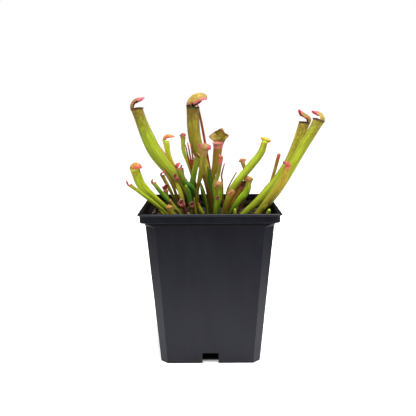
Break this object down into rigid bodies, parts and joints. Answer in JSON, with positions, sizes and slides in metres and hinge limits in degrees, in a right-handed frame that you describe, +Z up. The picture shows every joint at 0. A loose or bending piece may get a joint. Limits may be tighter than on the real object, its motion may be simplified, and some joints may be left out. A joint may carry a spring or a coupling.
{
  "type": "potted pitcher plant",
  "caption": "Square tapered nursery pot filled with potting mix, holding a clump of slender tubular pitcher leaves with veined, arching hoods.",
  "frame": {"origin": "middle of the pot's underside, on the flat pad under its floor, at the height of the foot rim that it stands on", "axes": "+Z up out of the pot; the side with the front of the clump faces -Y; +X to the right seen from the front, along the pot's rim"},
  "size_m": [0.1328, 0.0906, 0.1788],
  "materials": {
    "pot_plastic": "near-black satin moulded plastic",
    "potting_mix": "dark rough peat with bits of bark and fibre",
    "leaf_lime": "satin lime to yellow-green leaf with pink-red hood",
    "leaf_olive": "satin olive leaf with brown streaks and veins",
    "leaf_green": "satin mid to dark green leaf",
    "leaf_tan": "satin tan to orange leaf with brown veins",
    "leaf_maroon": "dull maroon-brown leaf with pink hood",
    "dead_leaf": "dry rust-brown leaf"
  },
  "bodies": {
    "root": {"pot": "pot_plastic", "potting_mix": "potting_mix", "pitcher_left_tall": "leaf_lime", "pitcher_left_fat": "leaf_lime", "pitcher_slim_left": "leaf_lime", "pitcher_left_low": "leaf_lime", "pitcher_right_yellow": "leaf_lime", "pitcher_right_tall_back": "leaf_lime", "pitcher_right_tall_front": "leaf_lime", "pitcher_left_yellow": "leaf_lime", "pitcher_pink_tip": "leaf_lime", "bud_left": "leaf_lime", "bud_right": "leaf_lime", "bud_front": "leaf_lime", "bud_middle": "leaf_lime", "blade_light_front": "leaf_lime", "blade_low_right": "leaf_lime", "thread_light": "leaf_lime", "thread_pale": "leaf_lime", "pitcher_centre_tall": "leaf_olive", "pitcher_right_centre": "leaf_olive", "pitcher_front_centre": "leaf_olive", "pitcher_pink_lipped": "leaf_olive", "pitcher_red_hook": "leaf_olive", "blade_grey_green": "leaf_olive", "pitcher_tiny_pink": "leaf_olive", "pitcher_left_green": "leaf_green", "pitcher_dark_hook": "leaf_green", "pitcher_green_centre": "leaf_green", "pitcher_right_front": "leaf_green", "pitcher_banana": "leaf_green", "blade_green_middle": "leaf_green", "blade_green_back": "leaf_green", "blade_green_left": "leaf_green", "pitcher_tan_right": "leaf_tan", "pitcher_tan_right_front": "leaf_tan", "pitcher_tan_front": "leaf_tan", "pitcher_small_right": "leaf_tan", "pitcher_pink_left": "leaf_tan", "bud_right_slender": "leaf_tan", "pitcher_brown_crumpled": "leaf_maroon", "pitcher_pink_triangle": "leaf_maroon", "pitcher_pink_low": "leaf_maroon", "pitcher_pink_low_small": "leaf_maroon", "pitcher_brown_stub": "leaf_maroon", "blade_brown_folded": "dead_leaf", "blade_olive_middle": "dead_leaf", "blade_dark_right": "dead_leaf", "blade_dead_split": "dead_leaf", "stalk_rust_red": "dead_leaf", "thread_folded": "dead_leaf", "thread_right": "dead_leaf"}
  },
  "joints": []
}
